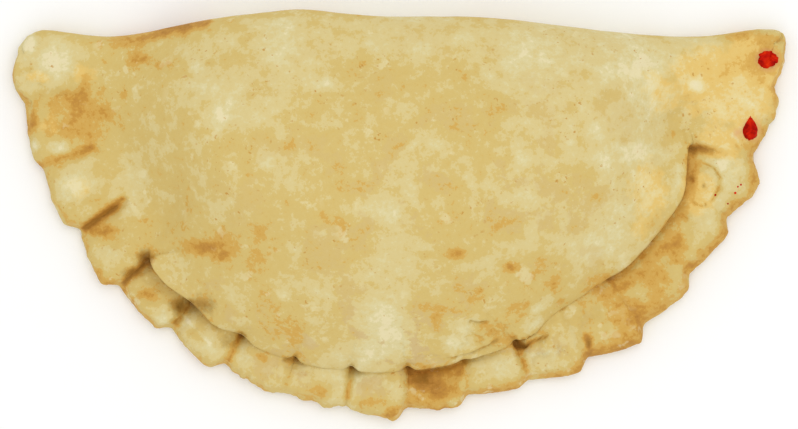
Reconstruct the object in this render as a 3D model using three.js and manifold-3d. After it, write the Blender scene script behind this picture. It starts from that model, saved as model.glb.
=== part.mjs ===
// A baked empanada: a disc of dough folded in half over its filling, with the open edge pleated shut.
// Millimetres, +Z up. It lies on its flat underside at z = 0, with the fold at the back (+Y) and the
// pleats at the front (-Y). The origin is on the underside, below the middle of the body.
// Two dabs of food dye, which tell the filling, are fused to the right-hand corner.

import * as THREE from 'three';
import { mergeVertices } from 'three/addons/utils/BufferGeometryUtils.js';
import Module from 'manifold-3d';

const { clamp, degToRad, lerp, radToDeg, smoothstep } = THREE.MathUtils;

// The disc and the filled body
const discRadius = 75; // circle about which the notches between the pleats lie
const discCentre = new THREE.Vector2(0, 38); // centre of that circle, seen from above
const crown = new THREE.Vector2(-2, 3); // highest point of the body, seen from above
const bodyHeight = 25;
const riseFromFold = 36; // the body rounds up from the fold over this distance
const riseFromLip = 34; // and from the lip above the crimp over this one
const gentleFoot = 24; // with a gentle foot of this length beside the corners
const steepFoot = 0.3; // and a plump, steeper one along the front
const steepBetween = [36, 66, 136, 160]; // degrees round the disc
const flatCorner = [6, 38]; // it runs out flat within these distances of the corners
const lumpHeight = 0.6; // filling that shows through the dough
const lumpLength = 21;
const lumpWays = [0.3, 1.4, 2.6];

// Pleats, counted from the left corner round the front to the right corner, in degrees round the disc
const firstNotch = 12.5;
const notchPitch = 9.84;
const notchDrift = 1.6; // how far the notches stray from even spacing
// how far each pleat's edge, and each notch, lies outside that circle
const pleatReach = [1.5, 1.9, 2.6, 1.9, 2.5, 2.1, 1.8, 3.2, 1.4, 0.5, 2.0, 3.6, 2.3, 1.5, 2.2, 0.9];
const notchReach = [0.2, 0.6, -0.2, 0.6, 0, 0.3, 1.3, 0.8, 0.7, -0.6, -0.3, 0.4, 1.1, 0, -0.4, -1.1, -0.7];
const pleatTip = 0.77; // where along a pleat its edge stands out furthest
const roundPleat = { 14: 0.58 }; // and on a pleat that is rounder
const pleatCount = pleatReach.length;
const tabReach = [1.5, 0.4]; // the flat tabs outside the first and last notch
const tabEnd = 0.6; // the right-hand one at its corner
const crimpStart = 5; // the rounded corners take over outside these two angles
const crimpEnd = 176.5;

// The crimped rim
const lappedHeight = 6.1; // a pleat ends high, lapped over the next
// by this much at each notch
const lapStep = [0, 0.5, 1.6, 2.1, 1.8, 0.7, 0.4, 0.5, 0.7, 0.4, 0.9, 0.9, 0.35, 0.25, 0.3, 0, 0];
const lapRun = 0.6; // share of a pleat over which it rises again
const lapEnd = 0.9; // and from which its end drops to the next one
const lipHollow = [0, 0, 0, 1.2, 1.2, 1, 0.8, 0.8, 0.8, 0.3, 0.6, 0.6, 0.1, 0, 0, 0, 0]; // above each notch
const sunken = { 3: 0.4, 4: 0.3, 8: 1, 11: 0.35, 12: 0.45, 13: 0.3 }; // pleats that slope in to the crease
const rimLift = 0.5; // the rim's edge stands just clear of the table
const footInset = 4; // from the rim's edge to where the underside is flat
const edgeRound = [1.2, 2.2]; // the rim's edge slopes over these widths on the left and on the right
const edgeRoundAt = [100, 125, 160, 168]; // degrees round the disc
const creaseRadius = 67.4; // crease between body and rim, from the disc's centre
const creaseShift = 2.5; // it lies further out on the left and further in on the right
const creasePeak = 55; // degrees round the disc
const creaseTuck = 3.6; // it turns in under the right-hand corner
const creaseTuckAt = [147, 157];
const leftWider = 3.2; // the rim is wider where it has no crease yet
const leftWiderAt = [12, 28, 38, 46];
const rightWider = 1.6; // and where the crease is baked shut
const rightWiderAt = [110, 119, 124, 134];
const creaseValley = 2.6; // height of the dough at the bottom of the crease, at the notches
const creaseStep = 0.9; // and how far it lies below the pleats between them
const creaseFrom = [41, 44.5]; // it deepens over these angles on the left
const creaseUntil = [156, 161]; // and dies out over these on the right
// how open it is at the start, middle and end of each pleat, elsewhere it is baked shut
const creaseOpen = {
  3: [1, 1, 1],
  4: [1, 0.9, 0.7],
  5: [1, 0.45, 0.1],
  6: [0.9, 0.35, 0.1],
  7: [1, 0.7, 0.2],
  8: [1, 1, 0.9],
  9: [1, 0.8, 0.1],
  10: [1, 0.3, 0],
  11: [0, 0.3, 0.9],
  12: [1, 1, 1],
  13: [1, 1, 1],
  14: [1, 1, 0.8],
};
const tabTaper = 0.18; // the rim narrows to this share of its width at the very corners
const cornerRuns = [18, 160]; // up to these angles
const lipHeight = 6.9; // the body bulges out over the crease at this height
const lipOverhang = 0.25;
const lipRunOut = 2.4; // where there is no crease, the body runs out into the rim over this length
const lipTurns = 6; // the ends of the crease are felt only this far into the body
const evenOver = [-16, -12, -8, -4, 0, 4, 8, 12, 16]; // beyond that it follows the lip evened over these
const dimpleDepth = 1.3; // each notch pokes the crease in under the body
const dimpleRise = 4.5; // and the body above it, up to this far over the lip
const dimpleWidth = { 3: 2.4, 4: 2.6, 5: 1.9 }; // wider at these notches than the groove
const grooveDepth = 1.6; // the groove that runs in from each notch
const grooveWidth = 1.3;
const grooveInner = 61; // and fades out at this radius

// The fold
const foldDip = -3.1; // from the disc's centre line, where the filling ends
const foldBulge = 3.6; // how far the filling pushes the fold back
const foldBulgeLeft = [-58, -30]; // the bulge rises between these
const foldBulgeRight = [10, 56]; // and falls between these
const foldHump = { x: -19.5, height: 1.4, width: 9 };
const foldFlare = 1.4; // the corners lift back again
const foldFlareFrom = [58, 72];
const foldEnds = [-69.5, 72.3];
const foldMidHeight = 9.5; // the fold is roundest this high above the table
const foldFoot = 0.8; // its underside turns in by this share of that height
const tabThickness = 5.4; // two layers of dough pressed together at the corners
const cornerHandle = [0.45, 0.65]; // how square the left and right corners are

// Dabs of dye in finger-poked dimples, with their half sizes
const dabs = [
  { x: 71.7, y: 30.3, halfWidth: 2.0, halfLength: 1.7, taper: 0 },
  { x: 68.1, y: 17, halfWidth: 1.6, halfLength: 2.4, taper: 0.7 },
];
const dabHeight = 0.9;
const dabSunk = 0.2;
const pokeDepth = 1.1;
const pokeRadius = 3.4;

// Fineness of the mesh
const pleatSteps = [0, 0.1, 0.26, 0.43, 0.6, 0.76, 0.91];
const tabSteps = 4;
const cornerSteps = 5;
const foldSteps = 30;
const domeRings = 19;
const baseRings = 2;

const notchAt = (k) => firstNotch + notchPitch * k + notchDrift * Math.sin((2 * Math.PI * k) / pleatCount);

// A smooth bump of height 1 that falls to 0 at the given distance.
const bump = (distance, width) => Math.exp(-((distance / width) ** 2));

// Rises from 0 to 1 between the first two values and falls again between the last two.
const between = (value, [a, b, c, d]) => smoothstep(value, a, b) * (1 - smoothstep(value, c, d));

// Which pleat an angle is on, and how far along it.
function pleatAt(around) {
  let k = -1;
  while (k < pleatCount && around >= notchAt(k + 1) - 1e-6) {
    k += 1;
  }
  const from = k < 0 ? crimpStart : notchAt(k);
  const to = k === pleatCount ? crimpEnd : notchAt(k + 1);
  return { k, along: clamp((around - from) / (to - from), 0, 1) };
}

// How far the edge lies outside the circle.
function edgeReach(around) {
  const { k, along } = pleatAt(around);
  const swell = Math.sin(Math.PI * along);
  if (k < 0) {
    return tabReach[0] * swell + notchReach[0] * along;
  }
  if (k === pleatCount) {
    return tabReach[1] * swell + lerp(notchReach[k], tabEnd, along);
  }
  const tip = roundPleat[k] ?? pleatTip;
  if (along < tip) {
    return lerp(notchReach[k], pleatReach[k], 1 - (1 - along / tip) ** 1.25);
  }
  return lerp(notchReach[k + 1], pleatReach[k], smoothstep(1 - along, 0, 1 - tip));
}

// The nearest notch, and how far it is round the edge.
function nearestNotch(around) {
  let near = 0;
  for (let k = 1; k <= pleatCount; k += 1) {
    if (Math.abs(around - notchAt(k)) < Math.abs(around - notchAt(near))) {
      near = k;
    }
  }
  return { near, off: degToRad(Math.abs(around - notchAt(near))) * discRadius };
}

// 1 where there is a crease between body and rim, 0 beside the corners.
const creaseDepth = (around) => between(around, [...creaseFrom, ...creaseUntil]);

// 1 where that crease is open, 0 where it is baked shut.
function openness(around) {
  const { k, along } = pleatAt(around);
  const shut = [0, 0, 0];
  const [start, middle, end] = creaseOpen[k] ?? shut;
  const next = (creaseOpen[k + 1] ?? shut)[0];
  const opening = lerp(start, middle, smoothstep(along, 0, 0.5));
  const closing = lerp(opening, end, smoothstep(along, 0.5, 0.93));
  return lerp(closing, next, smoothstep(along, 0.93, 1));
}

// 0 at the corners, 1 all along the pleats.
const fromCorners = (around) => between(around, [crimpStart, ...cornerRuns, crimpEnd]);

// The width of the rim, from its edge to the crease.
function rimWidth(around) {
  const shift = creaseShift * Math.cos(degToRad(1.9 * (around - creasePeak)));
  const tuck = creaseTuck * smoothstep(around, ...creaseTuckAt);
  const wider = leftWider * between(around, leftWiderAt) + rightWider * between(around, rightWiderAt);
  const width = discRadius + edgeReach(around) - (creaseRadius + shift - tuck - wider);
  return width * lerp(tabTaper, 1, fromCorners(around));
}

// From the edge in to where the body begins.
function lipInset(around) {
  const depth = creaseDepth(around);
  return rimWidth(around) - lipOverhang * depth + lipRunOut * (1 - depth) * fromCorners(around);
}

// The radius at which the body begins, and the same evened out along the edge.
const lipRadius = (around) => discRadius + edgeReach(around) - lipInset(around);

function evenedRadius(around) {
  const radii = evenOver.map((off) => lipRadius(clamp(around + off, crimpStart, crimpEnd)));
  return radii.reduce((sum, radius) => sum + radius, 0) / radii.length;
}

function dimpleAt(around) {
  const { near, off } = nearestNotch(around);
  const width = dimpleWidth[near] ?? grooveWidth;
  return dimpleDepth * lipHollow[near] * creaseDepth(around) * bump(off, width);
}

// 1 where the filling pushes the fold out, 0 at the flat corners.
const foldFullness = (x) => smoothstep(x, ...foldBulgeLeft) * (1 - smoothstep(x, ...foldBulgeRight));

function foldLine(x) {
  const hump = foldHump.height * bump(x - foldHump.x, foldHump.width);
  const flare = foldFlare * smoothstep(Math.abs(x), ...foldFlareFrom);
  return discCentre.y + foldDip + foldBulge * foldFullness(x) + hump + flare;
}

// A column is one line from the crown over the edge to the middle of the underside: its outermost
// point seen from above, the way in from there, and how much it belongs to the fold.
function crimpColumn(around) {
  const angle = degToRad(around);
  const inward = new THREE.Vector2(Math.cos(angle), Math.sin(angle));
  const edge = inward.clone().multiplyScalar(-discRadius - edgeReach(around)).add(discCentre);
  return { edge, inward, around, fold: 0 };
}

const leftCorner = new THREE.Vector2(foldEnds[0], foldLine(foldEnds[0]));
const rightCorner = new THREE.Vector2(foldEnds[1], foldLine(foldEnds[1]));

function foldColumn(x) {
  const edge = new THREE.Vector2(x, foldLine(x));
  return { edge, inward: new THREE.Vector2(0, -1), around: x < 0 ? crimpStart : crimpEnd, fold: 1 };
}

// The rounded corner from one column to another.
function cornerColumns(from, to) {
  const handle = cornerHandle[from.edge.x < 0 ? 0 : 1];
  const across = to.edge.clone().sub(from.edge);
  const [leave, arrive] = [from, to].map(({ inward }) => {
    const way = new THREE.Vector2(inward.y, -inward.x);
    return way.multiplyScalar(Math.abs(across.dot(way)) * handle);
  });
  const curve = new THREE.CubicBezierCurve(
    from.edge,
    from.edge.clone().add(leave),
    to.edge.clone().sub(arrive),
    to.edge,
  );
  return Array.from({ length: cornerSteps }, (_, i) => {
    const share = (i + 1) / (cornerSteps + 1);
    return {
      edge: curve.getPoint(share),
      inward: from.inward.clone().lerp(to.inward, share).normalize(),
      around: from.fold ? to.around : from.around,
      fold: lerp(from.fold, to.fold, share),
    };
  });
}

// All columns, counterclockwise seen from above, from the left end of the crimp.
function allColumns() {
  const angles = [];
  const spread = (from, to, count) => {
    for (let i = 0; i < count; i += 1) {
      angles.push(lerp(from, to, i / count));
    }
  };
  spread(crimpStart, notchAt(0), tabSteps);
  for (let k = 0; k < pleatCount; k += 1) {
    for (const step of pleatSteps) {
      angles.push(lerp(notchAt(k), notchAt(k + 1), step));
    }
  }
  spread(notchAt(pleatCount), crimpEnd, tabSteps);
  angles.push(crimpEnd);
  const crimp = angles.map(crimpColumn);
  const fold = Array.from({ length: foldSteps + 1 }, (_, i) =>
    foldColumn(lerp(foldEnds[1], foldEnds[0], i / foldSteps)),
  );
  return [
    ...crimp,
    ...cornerColumns(crimp.at(-1), fold[0]),
    ...fold,
    ...cornerColumns(fold.at(-1), crimp[0]),
  ];
}

// The side of a column from the lip of the body down to its foot, as pairs of inset and height.
function crimpSide(around) {
  const { k, along } = pleatAt(around);
  const { near, off } = nearestNotch(around);
  const depth = creaseDepth(around);
  const rim = rimWidth(around);
  const dimple = dimpleAt(around);
  const inset = lipInset(around) + dimple;
  const tucked = k < 0 ? 0 : lapStep[k] * (1 - smoothstep(along, 0, lapRun));
  const drop = 0.85 * smoothstep(along, lapEnd, 1) - 0.2 * smoothstep(along, 0.4, 0.9);
  const ended = k === pleatCount ? 0 : lapStep[k + 1] * drop;
  const ridge = lerp(tabThickness, lappedHeight, depth) - tucked - ended;
  const lip = lerp(tabThickness, lipHeight, depth);
  const sunk = (sunken[k] ?? 0) * Math.sqrt(Math.sin(Math.PI * along));
  const hollow = Math.max(sunk, lipHollow[near] * bump(off, 2));
  const creased = lerp(ridge - creaseStep, creaseValley, clamp(hollow, 0, 1));
  const open = lerp(lerp(ridge, tabThickness, 0.35), creased, depth);
  const opened = Math.max(openness(around), 0.6 * clamp(hollow, 0, 1));
  const valley = lerp(lerp(ridge, lip, 0.6), open, lerp(1, opened, depth));
  const bevel = Math.min(lerp(...edgeRound, between(around, edgeRoundAt)), rim * 0.35);
  return [
    [inset, lip],
    [lerp(rim + dimple, inset, 0.7), lerp(valley, lip, 0.62)],
    [lerp(rim + dimple, inset, 0.3), lerp(valley, lip, 0.25)],
    [rim * 0.96 + dimple, valley],
    [rim * 0.86, lerp(valley, ridge, 0.6 - 0.4 * sunk)],
    [rim * 0.68, lerp(valley, ridge, 0.92 - 0.55 * sunk)],
    [rim * 0.45, lerp(valley, ridge, 1 - 0.3 * sunk)],
    [rim * 0.22, ridge * 0.94],
    [bevel * 0.5, ridge * 0.72],
    [0, ridge * 0.42],
    [edgeRound[0] * 0.6, rimLift],
    [footInset, 0],
  ];
}

function foldSide(x, rings) {
  const mid = lerp(tabThickness / 2, foldMidHeight, foldFullness(x));
  return Array.from({ length: rings }, (_, i) => {
    const turn = ((Math.PI / 2) * i) / (rings - 1);
    return [foldFoot * mid * (1 - Math.cos(turn)), mid * (1 - Math.sin(turn))];
  });
}

function sideOf(column) {
  const crimp = crimpSide(column.around);
  const fold = foldSide(column.edge.x, crimp.length);
  const insets = crimp.map(([inset], i) => lerp(inset, fold[i][0], column.fold));
  const nearest = Math.min(...insets);
  return insets.map((inset, i) => ({
    plan: column.edge.clone().addScaledVector(column.inward, inset - nearest),
    height: lerp(crimp[i][1], fold[i][1], column.fold),
  }));
}

// Hollows in the top: the grooves between the pleats and the dimples poked for the dye.
function grooveAt(plan, around) {
  const { near, off } = nearestNotch(around);
  const fade = smoothstep(plan.distanceTo(discCentre), grooveInner, creaseRadius);
  const share = (lapStep[near] / Math.max(...lapStep)) ** 0.6;
  return grooveDepth * fade * share * bump(off, grooveWidth * 0.9);
}

function pokeAt(plan) {
  const depths = dabs.map((dab) => pokeDepth * bump(Math.hypot(plan.x - dab.x, plan.y - dab.y), pokeRadius));
  return Math.max(...depths);
}

// A quarter-round rise from 0 at an edge to 1 at the given distance in from it.
const roundRise = (distance, reach) => Math.sqrt(1 - (1 - clamp(distance / reach, 0, 1)) ** 2);

// How full the body is at a place seen from above: 0 along its edge, 1 at the top.
function fillAt(plan) {
  const arm = plan.clone().sub(discCentre);
  const around = clamp(radToDeg(Math.atan2(-arm.y, -arm.x)), crimpStart, crimpEnd);
  const fromEdge = lipRadius(around) - arm.length();
  const evened = evenedRadius(around) - arm.length();
  const inside = lerp(evened, fromEdge, Math.exp(-Math.max(fromEdge, 0) / lipTurns));
  const rounded = roundRise(inside, riseFromLip);
  const plump = lerp(Math.sin((Math.PI / 2) * clamp(inside / riseFromLip, 0, 1)), rounded, steepFoot);
  const gentle = rounded * smoothstep(inside, 0, gentleFoot);
  const fromLip = lerp(gentle, plump, between(around, steepBetween));
  const fromFold = roundRise(foldLine(plan.x) - plan.y, riseFromFold);
  const corner = plan.distanceTo(plan.x < 0 ? leftCorner : rightCorner);
  return fromLip * fromFold * smoothstep(corner, ...flatCorner);
}

// The filling shows through as three crossing swells.
function lumpAt(plan) {
  const swells = lumpWays.map((way, i) => {
    const travel = plan.x * Math.cos(way) + plan.y * Math.sin(way);
    return Math.sin((2 * Math.PI * travel) / lumpLength + 2 * i);
  });
  return (lumpHeight * swells.reduce((sum, swell) => sum + swell, 0)) / swells.length;
}

// The points of one column from the crown to the middle of the underside. Over the body it runs straight
// out to the lip, as seen from above, and a dimple in the lip pulls it in only near there.
function columnPoints(column) {
  const { around, fold, inward } = column;
  const side = sideOf(column);
  const crimped = 1 - fold;
  const dimple = dimpleAt(around) * crimped;
  const lip = side[0].plan.clone().addScaledVector(inward, -dimple);
  const lipTop = side[0].height;
  const points = [];
  for (let ring = 0; ring < domeRings; ring += 1) {
    const out = Math.sin(((Math.PI / 2) * ring) / domeRings);
    const plan = crown.clone().lerp(lip, out);
    const rounded = roundRise(plan.clone().sub(lip).dot(inward), tabThickness / 2);
    const edgeTop = lerp(lipTop, Math.max(lipTop, tabThickness), rounded);
    const base = lerp(lipHeight, edgeTop, smoothstep(out ** 3, 0, 1));
    const height = lerp(base, bodyHeight + lumpAt(plan), fillAt(plan)) - pokeAt(plan);
    plan.addScaledVector(inward, dimple * (1 - smoothstep(height - lipTop, 0, dimpleRise)));
    points.push(new THREE.Vector3(plan.x, plan.y, height));
  }
  const edgeRing = side.length - 3;
  side.forEach(({ plan, height }, i) => {
    const share = Math.max(0, 1 - i / edgeRing);
    const hollow = (grooveAt(plan, around) * crimped + pokeAt(plan)) * share;
    points.push(new THREE.Vector3(plan.x, plan.y, height - hollow));
  });
  const foot = side.at(-1).plan;
  for (let ring = 1; ring <= baseRings; ring += 1) {
    const plan = foot.clone().lerp(crown, ring / baseRings);
    points.push(new THREE.Vector3(plan.x, plan.y, 0));
  }
  return points;
}

// The dough is a sphere whose meridians are laid along the columns.
function doughGeometry() {
  const columns = allColumns().map(columnPoints);
  const rings = columns[0].length - 1;
  const geometry = new THREE.SphereGeometry(1, columns.length, rings);
  const position = geometry.attributes.position;
  for (let i = 0; i < position.count; i += 1) {
    const column = columns[(i % (columns.length + 1)) % columns.length];
    const point = column[Math.floor(i / (columns.length + 1))];
    position.setXYZ(i, point.x, point.y, point.z);
  }
  return geometry;
}

// A dab of dye: a low drop, drawn out to a point at the back where it has a taper.
function dabGeometry(dab, floor) {
  const geometry = new THREE.SphereGeometry(1, 14, 8);
  const position = geometry.attributes.position;
  const point = new THREE.Vector3();
  for (let i = 0; i < position.count; i += 1) {
    point.fromBufferAttribute(position, i);
    const narrow = 1 - dab.taper * Math.max(0, -point.z);
    point.set(point.x * dab.halfWidth * narrow, -point.z * dab.halfLength, point.y * dabHeight * narrow);
    position.setXYZ(i, point.x, point.y, point.z);
  }
  return geometry.translate(dab.x, dab.y, floor - dabSunk);
}

const wasm = await Module();
wasm.setup();

function solidFrom(geometry) {
  geometry.deleteAttribute('normal');
  geometry.deleteAttribute('uv');
  const merged = mergeVertices(geometry, 1e-4);
  return new wasm.Manifold(
    new wasm.Mesh({
      numProp: 3,
      vertProperties: merged.attributes.position.array,
      triVerts: new Uint32Array(merged.index.array),
    }),
  );
}

function geometryFrom(solid) {
  const { vertProperties, triVerts } = solid.getMesh();
  const geometry = new THREE.BufferGeometry();
  geometry.setAttribute('position', new THREE.BufferAttribute(vertProperties, 3));
  geometry.setIndex(new THREE.BufferAttribute(triVerts, 1));
  geometry.computeVertexNormals();
  return geometry;
}

// The whole empanada: the dough with the dabs of dye fused on where they lie.
function empanadaGeometry() {
  const dough = doughGeometry();
  const surface = new THREE.Mesh(dough);
  const down = new THREE.Vector3(0, 0, -1);
  const drops = dabs.map((dab) => {
    const above = new THREE.Vector3(dab.x, dab.y, 2 * bodyHeight);
    const [hit] = new THREE.Raycaster(above, down).intersectObject(surface);
    return solidFrom(dabGeometry(dab, hit.point.z));
  });
  return geometryFrom(drops.reduce((whole, drop) => whole.add(drop), solidFrom(dough)));
}

const bakedDough = new THREE.MeshStandardMaterial({ color: 0xd6c07e, roughness: 0.75, metalness: 0 });

const empanada = new THREE.Mesh(empanadaGeometry(), bakedDough);
empanada.name = 'empanada';

const part = new THREE.Group();
part.add(empanada);

export default part;
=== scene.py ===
import bisect
import math

import bmesh
import bpy
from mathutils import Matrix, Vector, noise
from mathutils.bvhtree import BVHTree


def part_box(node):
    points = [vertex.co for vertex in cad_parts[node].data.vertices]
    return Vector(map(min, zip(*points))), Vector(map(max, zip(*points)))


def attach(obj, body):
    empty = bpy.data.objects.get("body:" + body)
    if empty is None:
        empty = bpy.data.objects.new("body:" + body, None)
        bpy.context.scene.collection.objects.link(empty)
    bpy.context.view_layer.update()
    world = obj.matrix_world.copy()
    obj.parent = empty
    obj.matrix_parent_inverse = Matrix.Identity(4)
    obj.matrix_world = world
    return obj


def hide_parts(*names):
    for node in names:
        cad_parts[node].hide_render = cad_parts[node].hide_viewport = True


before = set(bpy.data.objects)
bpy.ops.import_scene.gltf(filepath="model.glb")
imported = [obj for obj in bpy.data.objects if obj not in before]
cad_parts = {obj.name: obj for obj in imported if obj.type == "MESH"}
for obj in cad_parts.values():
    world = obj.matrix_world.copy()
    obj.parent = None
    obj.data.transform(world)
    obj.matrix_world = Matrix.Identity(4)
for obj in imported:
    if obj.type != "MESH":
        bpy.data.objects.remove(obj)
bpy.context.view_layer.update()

low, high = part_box("empanada")
mm = (high.x - low.x) / 151.17  # the sizes below are millimetres on an empanada this long
print("frame: %.1f x %.1f x %.1f mm" % tuple(1000 * side for side in high - low))


def mix(a, b, share):
    return a + (b - a) * share


def clamp(value):
    return min(1.0, max(0.0, value))


def ease(value, start, stop):  # 0 before start, 1 after stop, smooth between them
    share = clamp((value - start) / (stop - start))
    return share * share * (3 - 2 * share)


def between(value, a, b, c, d):  # rises from a to b and falls from c to d
    return ease(value, a, b) * (1 - ease(value, c, d))


def swell(distance, width):  # a smooth bump of height 1
    return math.exp(-((distance / width) ** 2))


def quarterRound(distance, reach):  # rises steeply from 0 and levels out at 1
    return math.sqrt(1 - (1 - clamp(distance / reach)) ** 2)


# The crust: a disc of dough folded over its filling, its open edge pleated shut
crust = {
    "discRadius": 75.0,
    "discCentre": Vector((0, 38)),
    "crown": Vector((-2, 3)),
    "bodyHeight": 25.0,
    "riseFromFold": 36.0,
    "riseFromLip": 34.0,
    "gentleFoot": 24.0,
    "steepFoot": 0.12,
    "steepBetween": (36, 66, 136, 160),  # degrees round the disc
    "flatCorner": (6, 38),
    "lumpHeight": 0.6,
    "lumpLength": 21.0,
    "lumpWays": (0.3, 1.4, 2.6),
    # pleats, in degrees round the disc from the left corner
    "firstNotch": 12.5,
    "notchPitch": 9.84,
    "notchDrift": 1.6,
    "pleatReach": (1.5, 1.9, 2.6, 1.9, 2.5, 2.1, 1.8, 3.2, 1.4, 0.5, 2.0, 3.6, 2.3, 1.5, 2.2, 0.9),
    "notchReach": (0.2, 0.6, -0.2, 0.6, 0, 0.3, 1.3, 0.8, 0.7, -0.6, -0.3, 0.4, 1.1, 0, -0.4, -1.1, -0.7),
    "pleatTip": {14: 0.58},  # where along a pleat its edge stands out furthest
    "usualTip": 0.77,
    "tabReach": (1.5, 0.4),
    "tabEnd": 0.6,
    "crimpStart": 5.0,
    "crimpEnd": 176.5,
    "pleatBow": 1.25,
    "crumble": {3: 0.5, 4: 0.4, 5: 0.9, 6: 1.0, 7: 0.9, 8: 0.5, 14: 0.5, 15: 0.7, 16: 0.6},
    "usualCrumble": 0.25,  # for the other pleats
    "crumbleReach": 0.7,
    "crumbleWaves": ((0.5, 1.0), (1.1, 0.6), (1.9, 0.4)),  # how close together, and how strong
    # rim: long rows go by notch, numbered values by pleat
    "fullBetween": (18, 160),  # it narrows from here to the corners
    "lappedHeight": 6.1,
    "lapStep": (0, 0.5, 1.6, 2.1, 1.8, 0.7, 0.4, 0.5, 0.7, 0.4, 0.9, 0.4, 0.35, 0.25, 0.3, 0, 0),
    "lapRun": 0.6,  # share of a pleat over which it rises again
    "lapEnd": 0.9,  # and from which its end drops to the next one
    "lapDrop": 0.85,  # by this share of the next step
    "lapSwell": 0.2,  # after it has swelled by this share
    "lapSwellAt": (0.4, 0.9),
    "lipHollow": (0, 0, 0, 1.2, 1.2, 1.0, 0.8, 0.8, 0.8, 0.3, 0.6, 0.1, 0.1, 0, 0, 0, 0),
    "sunken": {3: 0.4, 4: 0.3, 8: 1.0, 11: 0.35, 12: 0.45, 13: 0.3},  # they slope in to the crease
    "rimLift": 0.5,
    "footInset": 4.0,
    "edgeRound": (1.2, 2.2),  # on the left and on the right
    "edgeRoundTurns": (100, 125),  # where one becomes the other
    "edgeRoundEnds": (160, 168),
    "edgeRoundMost": 0.35,  # of the rim's width
    "creaseRadius": 67.4,
    "creaseShift": 2.5,
    "creasePeak": 55.0,
    "creaseWave": 1.9,
    "creaseTuck": 3.6,  # it turns in under the right corner
    "creaseTuckAt": (147, 157),
    "leftWider": 3.2,  # the rim is wider where it has no crease yet
    "leftWiderAt": (12, 28, 38, 46),
    "rightWider": 1.6,  # and where the crease is baked shut
    "rightWiderAt": (110, 119, 124, 134),
    "creaseValley": 2.6,
    "creaseStep": 0.9,  # how far it lies below the pleats between the notches
    "hollowWidth": 2.0,
    "hollowOpens": 0.6,  # as if it were this open in a hollow
    "shutLip": 0.1,  # where it is baked shut, the lip is this far above the pleat
    "shutDip": 0.6,
    "plainDip": 0.35,
    "creaseAt": (41, 44.5, 156, 161),
    "openMiddle": 0.5,  # shares of the way along a pleat
    "openStop": 0.93,
    # how open it is at the start, middle and end of each pleat, elsewhere it is baked shut
    "creaseOpen": {3: (1, 1, 1), 4: (1, 0.9, 0.7), 5: (1, 0.25, 0), 6: (0.9, 0.2, 0), 7: (1, 0.6, 0.1),
                   8: (1, 1, 0.9), 9: (1, 0.8, 0.1), 10: (1, 0.3, 0), 11: (0, 0.3, 0.9), 12: (1, 1, 1),
                   13: (1, 1, 1), 14: (1, 1, 0.8)},
    "tabTaper": 0.18,
    "lipHeight": 6.9,
    "lipOverhang": 0.1,
    "lipRunOut": 2.4,  # without a crease the body runs out into the rim over this length
    "lipTurns": 6.0,  # the ends of the crease are felt only this far into the body
    "evenOver": range(-16, 17, 4),  # beyond, it follows the lip evened over these degrees
    "dimpleDepth": 1.3,
    "dimpleWidth": {3: 6.5, 4: 6.5, 5: 3.4},  # by notch, wide where the crease runs straight
    "dimpleRise": 4.5,
    "grooveDepth": 1.6,
    "grooveWidth": 1.3,
    "grooveSides": (0.9, 0.6),  # shares of it on the tucked and the lapped side
    "grooveInner": 61.0,
    # fold
    "foldDip": -3.1,
    "foldBulge": 3.6,
    "foldBulgeAt": (-58, -30, 10, 56),
    "foldHump": (-19.5, 1.4, 9.0),
    "foldFlare": 1.4,
    "foldFlareFrom": (58, 72),
    "foldEnds": (-69.5, 72.3),
    "foldMidHeight": 9.5,
    "foldFoot": 0.8,
    "tabThickness": 5.4,
    "cornerHandle": (0.45, 0.65),  # how square the left and right corners are
    "pokeDepth": 1.1,
    "pokeRadius": 3.4,
    "dyeStain": 2.6,
    # mesh
    "tabColumns": 20,
    "pleatColumns": 34,
    "cornerColumns": 19,
    "foldColumns": 176,
    "domeRings": 80,
    "firstRing": 0.6,
    "ringCrowd": 0.6,  # how much closer they come towards the lip
    "doubleAt": (0.06, 0.17, 0.42),  # the columns double at these shares of the way out
    "sideSteps": (3, 3, 4, 4, 4, 4, 4, 4, 4, 3, 2),  # rings between the points down the side
    "baseRings": 5,
    "plainBelow": 0.6,  # the underside has no relief or marks
}

# Dabs of dye, poked into the right corner
dabs = {
    "corner": {"at": (71.7, 30.3), "half": (2.05, 1.7), "height": 0.6, "seed": 3, "ragged": 1.6},
    "lower": {"at": (68.3, 16.6), "half": (1.5, 2.9), "height": 0.65, "seed": 8, "ragged": 0.8,
              "taper": 0.8, "blunt": 0.3},
}

pleatCount = len(crust["pleatReach"])
notches = [
    crust["firstNotch"] + crust["notchPitch"] * k
    + crust["notchDrift"] * math.sin(math.tau * k / pleatCount)
    for k in range(pleatCount + 1)
]


def pleatAt(around):  # which pleat, and how far along it
    k = bisect.bisect_right(notches, around + 1e-6) - 1
    start = crust["crimpStart"] if k < 0 else notches[k]
    stop = crust["crimpEnd"] if k == pleatCount else notches[k + 1]
    return k, clamp((around - start) / (stop - start))


def edgeReach(around):  # how far the edge lies outside the disc
    k, along = pleatAt(around)
    reach = crust["notchReach"]
    rough = sum(share * noise.noise(Vector((close * around, 4.7, 0.0)))
                for close, share in crust["crumbleWaves"])
    crumble = crust["crumble"].get(k, crust["usualCrumble"])
    rough *= crumble * crust["crumbleReach"] * math.sin(math.pi * along) ** 0.5
    if k < 0:
        return crust["tabReach"][0] * math.sin(math.pi * along) + reach[0] * along
    if k == pleatCount:
        out = mix(reach[k], crust["tabEnd"], along)
        return crust["tabReach"][1] * math.sin(math.pi * along) + out + rough
    tip = crust["pleatTip"].get(k, crust["usualTip"])
    out = crust["pleatReach"][k]
    if along < tip:
        return mix(reach[k], out, 1 - (1 - along / tip) ** crust["pleatBow"]) + rough
    return mix(reach[k + 1], out, ease(1 - along, 0, 1 - tip)) + rough


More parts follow.
